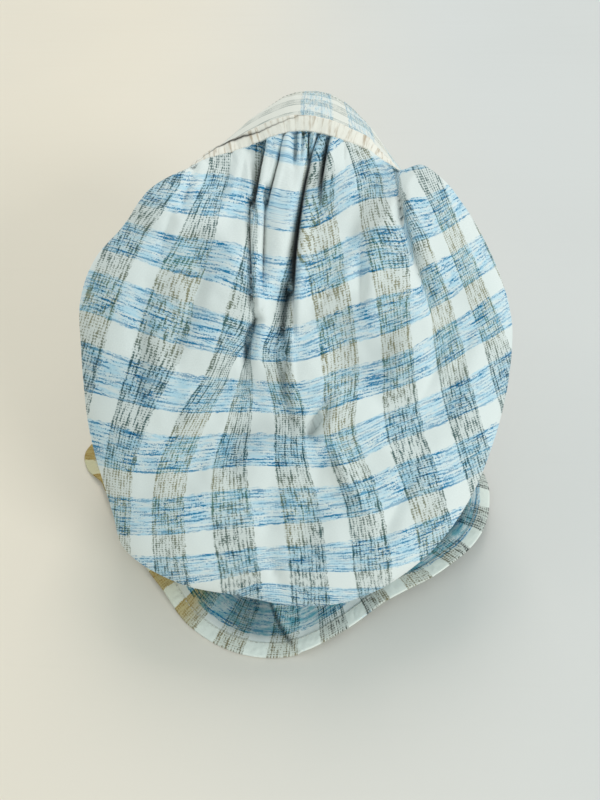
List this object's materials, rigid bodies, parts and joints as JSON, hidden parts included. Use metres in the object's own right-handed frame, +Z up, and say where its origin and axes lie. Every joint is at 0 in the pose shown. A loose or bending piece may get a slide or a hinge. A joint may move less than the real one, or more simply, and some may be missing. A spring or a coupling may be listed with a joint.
{
  "type": "prairie bonnet",
  "caption": "Plaid cotton prairie bonnet with a puffed crown gathered into a narrow band, a soft arched brim and a flared neck curtain, resting by itself.",
  "frame": {"origin": "middle of the bonnet's footprint, on the surface that it rests on", "axes": "+Z up, +Y out of the face opening, +X to the wearer's right"},
  "size_m": [0.3034, 0.3534, 0.217],
  "materials": {
    "plaid_cotton": "matt woven cotton",
    "cream_band": "matt woven cotton",
    "hem_cotton": "matt woven cotton"
  },
  "bodies": {
    "root": {"crown": "plaid_cotton", "gathering_band": "cream_band", "brim": "plaid_cotton", "curtain": "plaid_cotton", "curtain_hem": "hem_cotton"}
  },
  "joints": []
}
